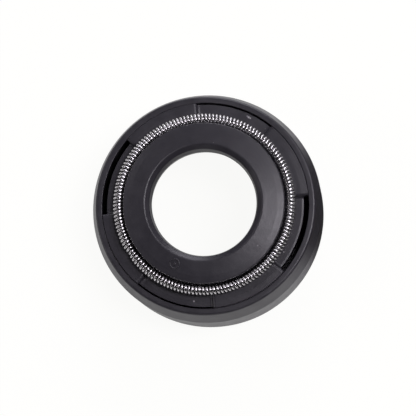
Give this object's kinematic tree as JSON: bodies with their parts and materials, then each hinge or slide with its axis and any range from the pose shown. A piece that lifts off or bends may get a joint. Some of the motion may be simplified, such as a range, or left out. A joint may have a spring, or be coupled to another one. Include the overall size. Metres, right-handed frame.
{
  "type": "valve stem seal",
  "caption": "Rubber ring seal moulded on a steel insert, with a garter spring round its lip head and a tapered outer rim; it seats on its flat back face.",
  "frame": {"origin": "centre of the flat back face, on the bore axis", "axes": "+Z along the bore axis, out of the face that carries the garter spring; +X and +Y are free, and +X is to the right in the picture"},
  "size_m": [0.02, 0.02, 0.0089],
  "materials": {
    "rubber": "moulded, satin black",
    "coated_steel": "pressed sheet with a dark bonding coat",
    "spring_steel": "bright drawn spring wire"
  },
  "bodies": {
    "root": {"seal_body": "rubber", "steel_insert": "coated_steel", "garter_spring": "spring_steel"}
  },
  "joints": []
}
